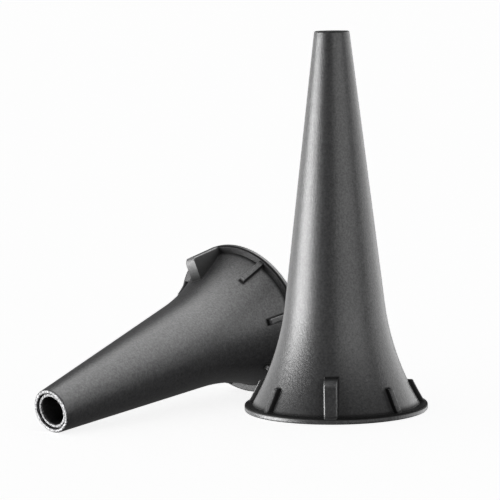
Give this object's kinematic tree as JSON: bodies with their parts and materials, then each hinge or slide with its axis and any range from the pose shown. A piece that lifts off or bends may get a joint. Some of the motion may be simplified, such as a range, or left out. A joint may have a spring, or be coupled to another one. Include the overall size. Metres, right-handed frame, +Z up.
{
  "type": "otoscope ear specula",
  "caption": "Standing ear speculum beside a shorter one lying down: hollow tapered cones with a flared base, rim, grip ribs and a long lug.",
  "frame": {"origin": "centre of the standing speculum's base plane, which rests on the surface", "axes": "+Z up along the standing speculum; the lying speculum points its tip along -X and lies on the +Y side"},
  "size_m": [0.0374, 0.0321, 0.0391],
  "materials": {
    "moulded_plastic": "fine spark-eroded grain with a soft sheen"
  },
  "bodies": {
    "standing": {"standing_speculum": "moulded_plastic"},
    "lying": {"lying_speculum": "moulded_plastic"}
  },
  "joints": [
    {"name": "lying_lift", "type": "slide", "parent": "standing", "child": "lying", "axis": [0, 0, 1], "range_m": [0, 0.042]}
  ]
}
